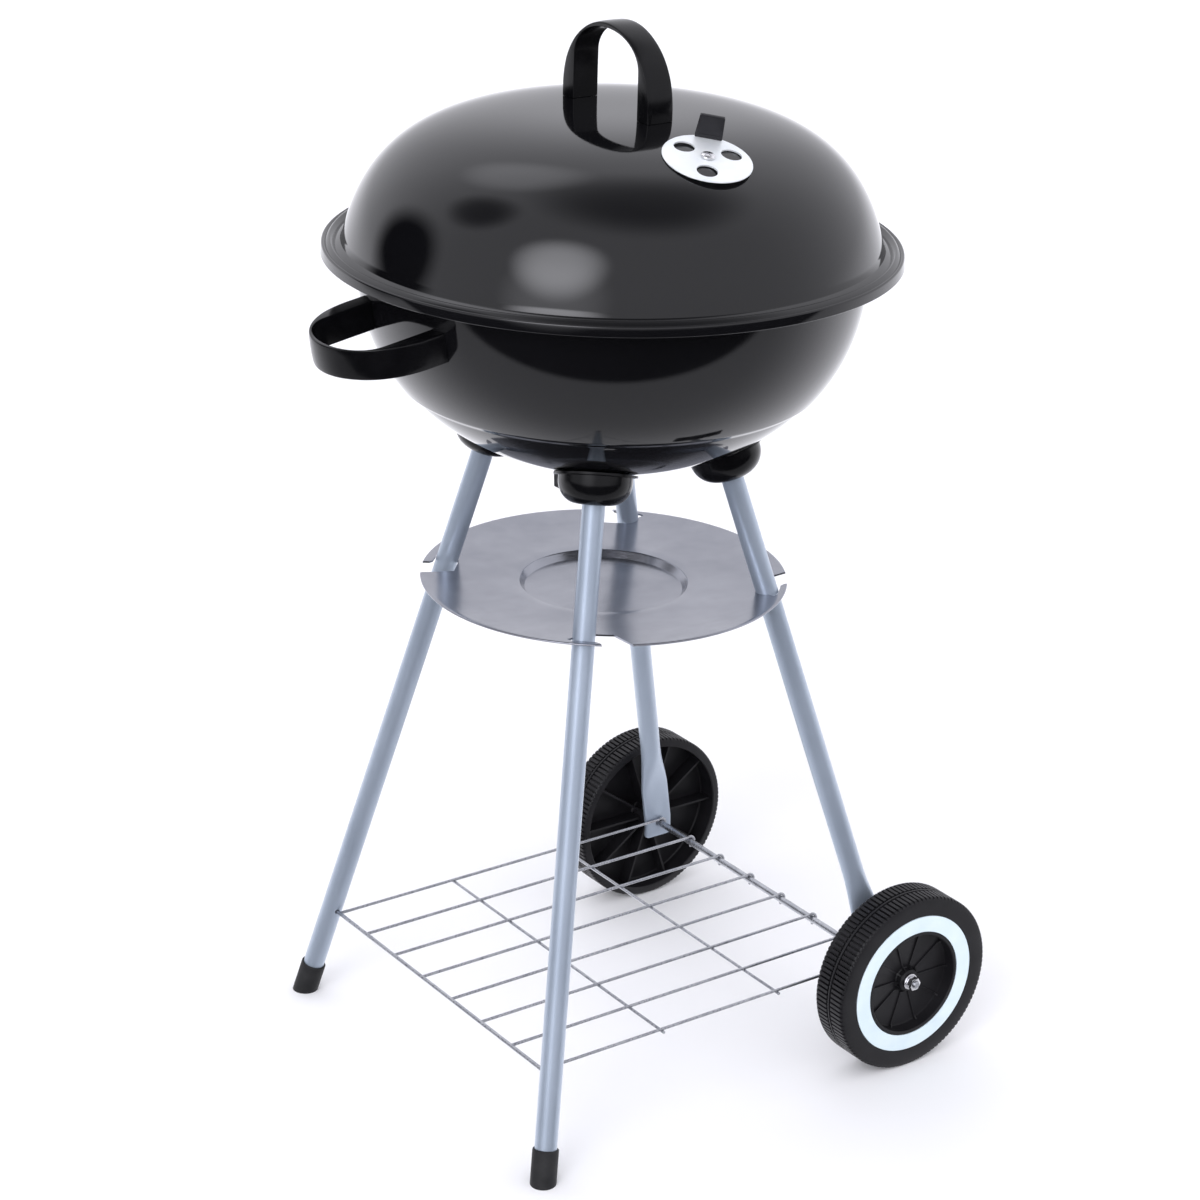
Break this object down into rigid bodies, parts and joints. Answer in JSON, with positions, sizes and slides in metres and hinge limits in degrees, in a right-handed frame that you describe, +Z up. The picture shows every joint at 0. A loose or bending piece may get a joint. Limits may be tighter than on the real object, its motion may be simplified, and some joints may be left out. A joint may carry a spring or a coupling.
{
  "type": "kettle charcoal grill",
  "caption": "Round black kettle grill with a domed lift-off lid, looped handles, sliding air dampers, an ash dish and a wire shelf on a splayed wheeled stand.",
  "frame": {"origin": "middle of the footprint box on the floor, about 1 mm from the kettle's axis towards the feet", "axes": "+Z up, +X from the two capped feet towards the two wheels, +Y along the axle to the left-hand wheel"},
  "size_m": [0.5282, 0.455, 0.868],
  "materials": {
    "enamel": "gloss vitreous enamel",
    "black_plastic": "glossy moulded thermoset plastic",
    "leg_paint": "satin silver powder coat",
    "galvanised_sheet": "satin zinc-plated sheet",
    "damper_metal": "bright rolled sheet",
    "screw_steel": "bright plated",
    "wire_steel": "zinc-plated drawn wire",
    "grate_chrome": "chrome-plated wire",
    "rubber": "matte black",
    "wheel_plastic": "satin moulded",
    "white_trim": "satin white"
  },
  "bodies": {
    "stand": {"axle": "wire_steel", "bowl_damper_nut": "screw_steel", "bowl_damper_screw": "screw_steel", "bowl_shell": "enamel", "foot_cap_front_left": "rubber", "foot_cap_front_right": "rubber", "grate_support_1": "galvanised_sheet", "grate_support_2": "galvanised_sheet", "grate_support_3": "galvanised_sheet", "grate_support_4": "galvanised_sheet", "inner_washer_left": "screw_steel", "inner_washer_right": "screw_steel", "leg_bolt_front_left": "screw_steel", "leg_bolt_front_right": "screw_steel", "leg_bolt_rear_left": "screw_steel", "leg_bolt_rear_right": "screw_steel", "leg_cup_front_left": "black_plastic", "leg_cup_front_right": "black_plastic", "leg_cup_rear_left": "black_plastic", "leg_cup_rear_right": "black_plastic", "leg_front_left": "leg_paint", "leg_front_right": "leg_paint", "leg_insert_front_left": "screw_steel", "leg_insert_front_right": "screw_steel", "leg_insert_rear_left": "screw_steel", "leg_insert_rear_right": "screw_steel", "leg_rear_left": "leg_paint", "leg_rear_right": "leg_paint", "outer_washer_left": "screw_steel", "outer_washer_right": "screw_steel", "side_handle": "black_plastic", "side_handle_screw_1": "screw_steel", "side_handle_screw_2": "screw_steel", "wheel_nut_left": "screw_steel", "wheel_nut_right": "screw_steel", "wire_shelf": "wire_steel"},
    "lid": {"lid_shell": "enamel", "lid_handle": "black_plastic", "lid_handle_screw_1": "screw_steel", "lid_handle_screw_2": "screw_steel", "lid_damper_screw": "screw_steel", "lid_damper_nut": "screw_steel"},
    "lid_damper": {"lid_damper": "damper_metal", "lid_damper_grip": "black_plastic"},
    "bowl_damper": {"bowl_damper": "galvanised_sheet", "bowl_damper_grip": "black_plastic"},
    "cooking_grate": {"cooking_grate": "grate_chrome"},
    "charcoal_grate": {"charcoal_grate": "grate_chrome"},
    "ash_catcher": {"ash_catcher": "galvanised_sheet"},
    "wheel_left": {"wheel_left": "wheel_plastic", "wheel_ring_left": "white_trim"},
    "wheel_right": {"wheel_right": "wheel_plastic", "wheel_ring_right": "white_trim"}
  },
  "joints": [
    {"name": "lid_lift", "type": "slide", "parent": "stand", "child": "lid", "axis": [0, 0, 1], "range_m": [0, 0.3]},
    {"name": "lid_damper_turn", "type": "hinge", "parent": "lid", "child": "lid_damper", "pos_m": [-0.0079, -0.12812, 0.79094], "axis": [-0.0203, -0.2892, 0.9571], "range_deg": [0, 60]},
    {"name": "bowl_damper_turn", "type": "hinge", "parent": "stand", "child": "bowl_damper", "pos_m": [0.00111, 0, 0.522], "axis": [0, 0, 1], "range_deg": [0, 60]},
    {"name": "cooking_grate_lift", "type": "slide", "parent": "stand", "child": "cooking_grate", "axis": [0, 0, 1], "range_m": [0, 0.02]},
    {"name": "charcoal_grate_lift", "type": "slide", "parent": "stand", "child": "charcoal_grate", "axis": [0, 0, 1], "range_m": [0, 0.05]},
    {"name": "ash_catcher_twist", "type": "hinge", "parent": "stand", "child": "ash_catcher", "pos_m": [0.00111, 0, 0.415], "axis": [0, 0, 1], "range_deg": [-11, 0]},
    {"name": "wheel_left_roll", "type": "hinge", "parent": "stand", "child": "wheel_left", "pos_m": [0.18611, 0.1855, 0.078], "axis": [0, 1, 0], "continuous": true},
    {"name": "wheel_right_roll", "type": "hinge", "parent": "stand", "child": "wheel_right", "pos_m": [0.18611, -0.1855, 0.078], "axis": [0, 1, 0], "continuous": true}
  ]
}
